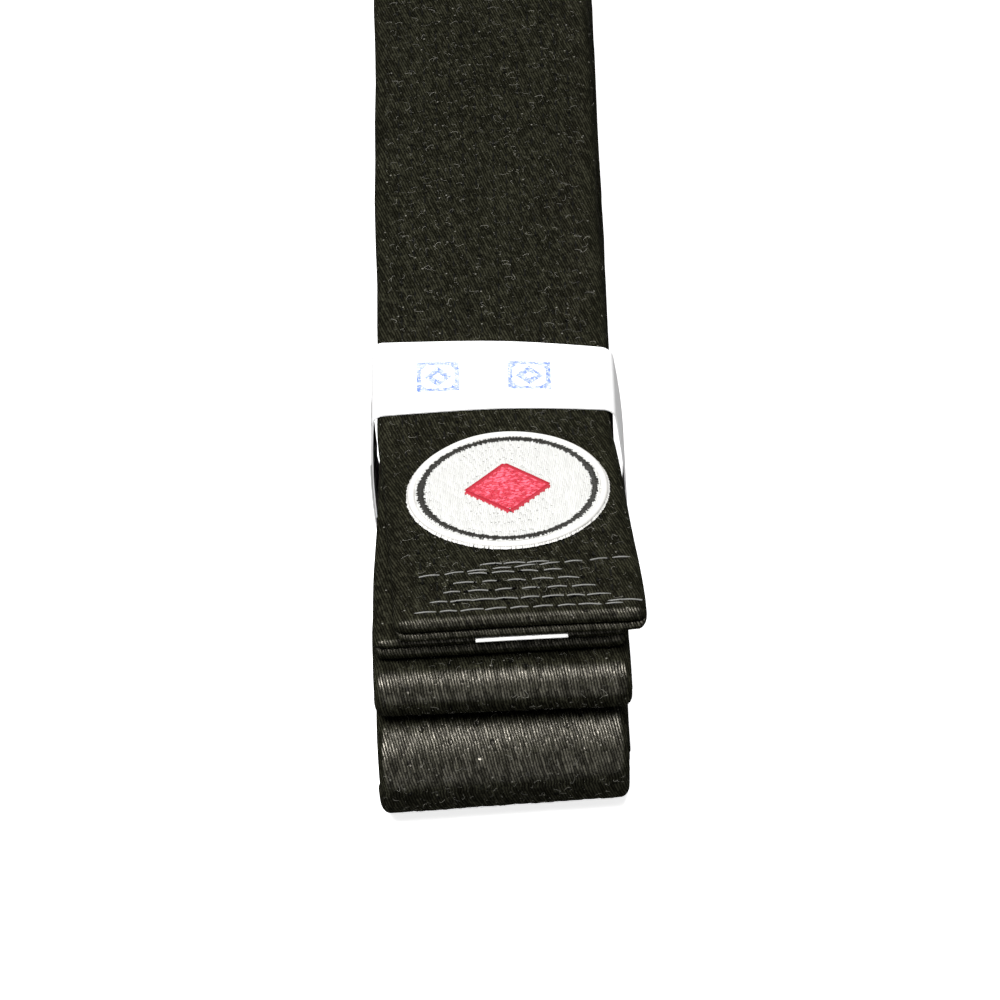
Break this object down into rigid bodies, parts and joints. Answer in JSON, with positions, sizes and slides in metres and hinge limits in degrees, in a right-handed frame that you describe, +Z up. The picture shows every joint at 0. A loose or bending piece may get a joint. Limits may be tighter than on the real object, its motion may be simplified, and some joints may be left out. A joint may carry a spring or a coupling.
{
  "type": "martial arts belt",
  "caption": "Flat quilted cotton belt folded into a long layered bundle, with a round embroidered patch on its upper end, held by a glued paper band that slides along it.",
  "frame": {"origin": "on the surface the bundle rests on, under the middle of the whole bundle", "axes": "+Y along the belt's length from the two belt ends at the front (-Y) to the nested folds at the back, X across the belt, +Z up out of the face with the patch"},
  "size_m": [0.0442, 0.33, 0.0385],
  "materials": {
    "cover_satin": "satin",
    "core_cotton": "matte",
    "row_thread": "satin",
    "patch_white": "satin",
    "patch_edge": "satin",
    "patch_black": "satin",
    "patch_red": "satin",
    "label_white": "satin",
    "label_thread": "satin",
    "band_paper": "matte",
    "glue": "satin"
  },
  "bodies": {
    "belt": {"outer_cover": "cover_satin", "core_ply_1": "core_cotton", "core_ply_2": "core_cotton", "core_ply_3": "core_cotton", "core_ply_4": "core_cotton", "core_ply_5": "core_cotton", "row_stitching": "row_thread", "lower_end_stitching": "row_thread"},
    "upper_end": {"upper_end_cover": "cover_satin", "upper_end_ply_1": "core_cotton", "upper_end_ply_2": "core_cotton", "upper_end_ply_3": "core_cotton", "upper_end_ply_4": "core_cotton", "upper_end_ply_5": "core_cotton", "upper_end_stitching": "row_thread", "patch_backing": "patch_white", "patch_border": "patch_edge", "patch_field": "patch_white", "patch_ring": "patch_black", "patch_motif": "patch_red", "size_label": "label_white", "label_seam": "label_thread"},
    "band": {"paper_band": "band_paper", "band_glue": "glue"}
  },
  "joints": [
    {"name": "upper_end_lift", "type": "hinge", "parent": "belt", "child": "upper_end", "pos_m": [-0.00094, -0.1026, 0.0316], "axis": [-0.9982, -0.0593, 0], "range_deg": [0, 90]},
    {"name": "band_slide", "type": "slide", "parent": "belt", "child": "band", "axis": [0, 1, 0], "range_m": [0, 0.17]}
  ]
}
